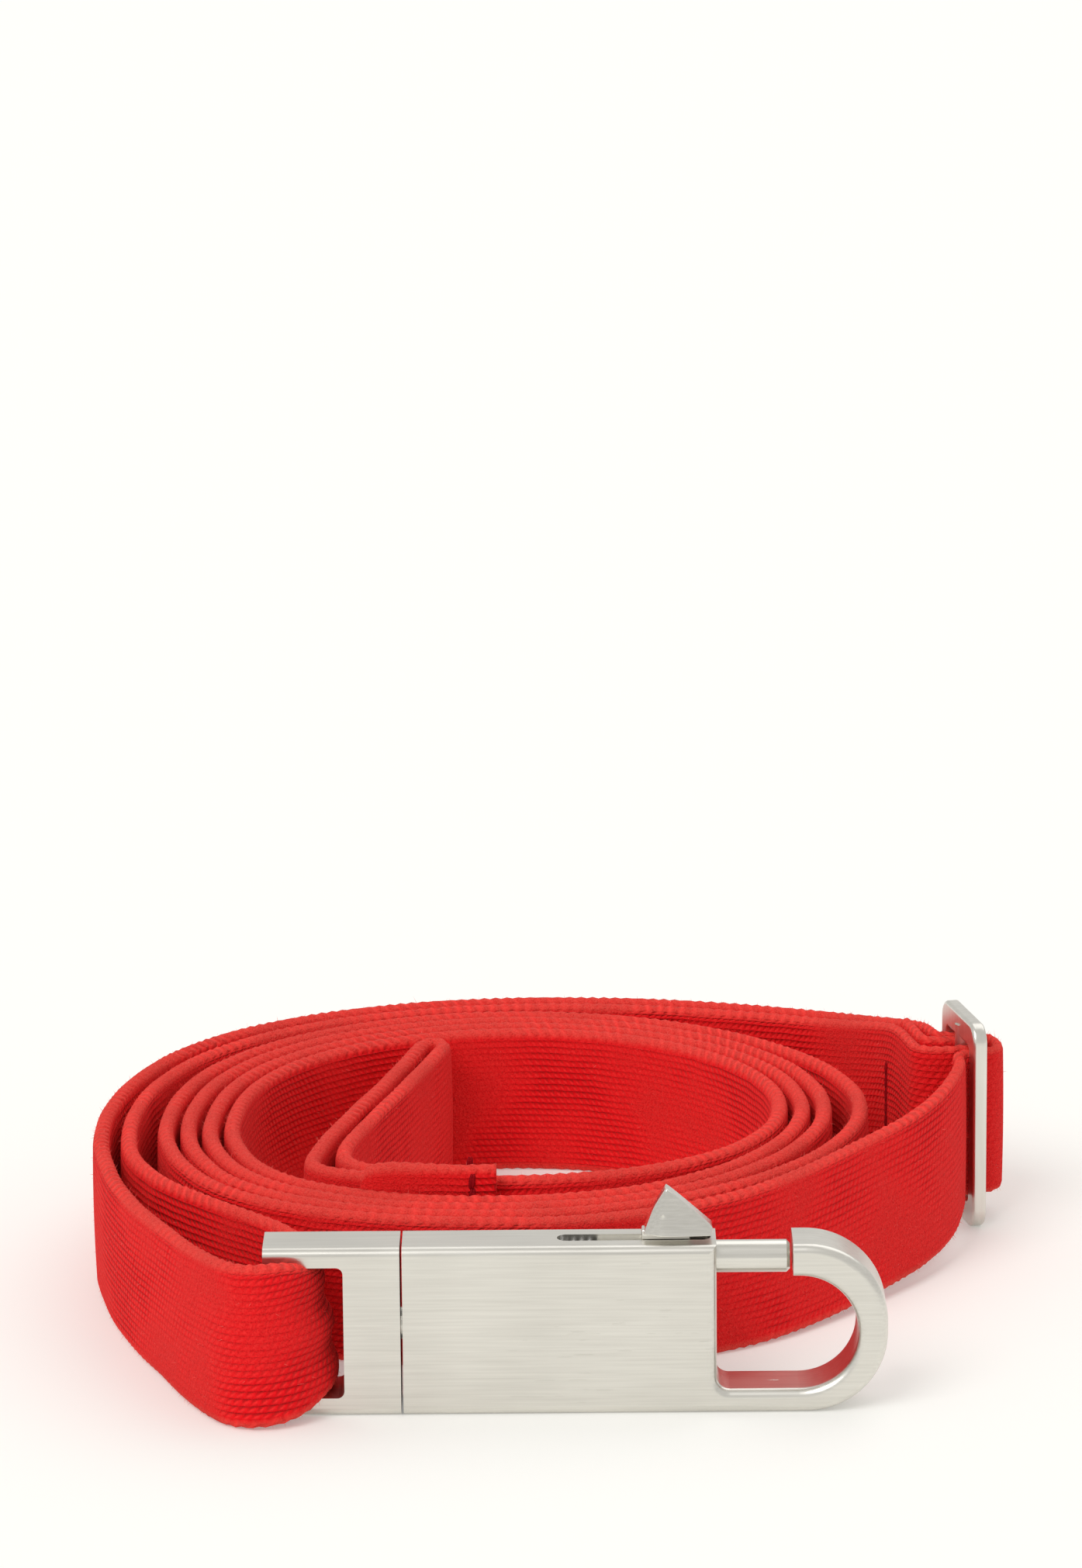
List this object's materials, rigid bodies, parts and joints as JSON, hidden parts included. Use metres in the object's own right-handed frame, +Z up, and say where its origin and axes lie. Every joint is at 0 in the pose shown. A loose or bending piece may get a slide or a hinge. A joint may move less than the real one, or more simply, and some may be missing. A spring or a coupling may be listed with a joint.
{
  "type": "luggage strap",
  "caption": "Coiled cotton webbing luggage strap with a sewn hand loop, a three-bar slider and a swivelling snap clip with a sprung thumb-lever gate.",
  "frame": {"origin": "centre of the laid-down strap's footprint, on the surface it lies on", "axes": "+X along the clip from its webbing frame to its hook, +Z up along the webbing's width, -Y is the side the clip lies on"},
  "size_m": [0.1494, 0.1538, 0.035],
  "materials": {
    "webbing": "ribbed cotton webbing",
    "thread": "twisted sewing thread",
    "clip_metal": "satin brushed along the clip",
    "slider_metal": "satin",
    "lever_metal": "semi-bright",
    "pin_steel": "satin",
    "rivet_steel": "turned",
    "bush_brass": "turned",
    "spring_steel": "drawn wire"
  },
  "bodies": {
    "strap": {"webbing": "webbing", "loop_stitch": "thread", "slider_stitch": "thread"},
    "clip_frame": {"swivel_frame": "clip_metal", "swivel_rivet": "rivet_steel"},
    "hook": {"hook_body": "clip_metal", "swivel_bush": "bush_brass", "thrust_washer": "rivet_steel", "gate_spring": "spring_steel"},
    "gate": {"gate_pin": "pin_steel", "thumb_lever": "lever_metal", "lever_screw": "rivet_steel"},
    "slider": {"slider": "slider_metal"}
  },
  "joints": [
    {"name": "clip_pivot", "type": "hinge", "parent": "strap", "child": "clip_frame", "pos_m": [-0.043, -0.0693, 0.01325], "axis": [0, 0, -1], "range_deg": [0, 40]},
    {"name": "clip_swivel", "type": "hinge", "parent": "clip_frame", "child": "hook", "pos_m": [-0.043, -0.0693, 0.01325], "axis": [1, 0, 0], "range_deg": [-30, 90]},
    {"name": "gate_slide", "type": "slide", "parent": "hook", "child": "gate", "axis": [-1, 0, 0], "range_m": [0, 0.0115], "stiffness_N_per_m": 300, "springref_m": -0.006, "deforming": ["gate_spring"]},
    {"name": "slider_rock", "type": "hinge", "parent": "strap", "child": "slider", "pos_m": [0.0682, 0.0274, 0.0175], "axis": [0, 0, 1], "range_deg": [-4, 4]}
  ]
}
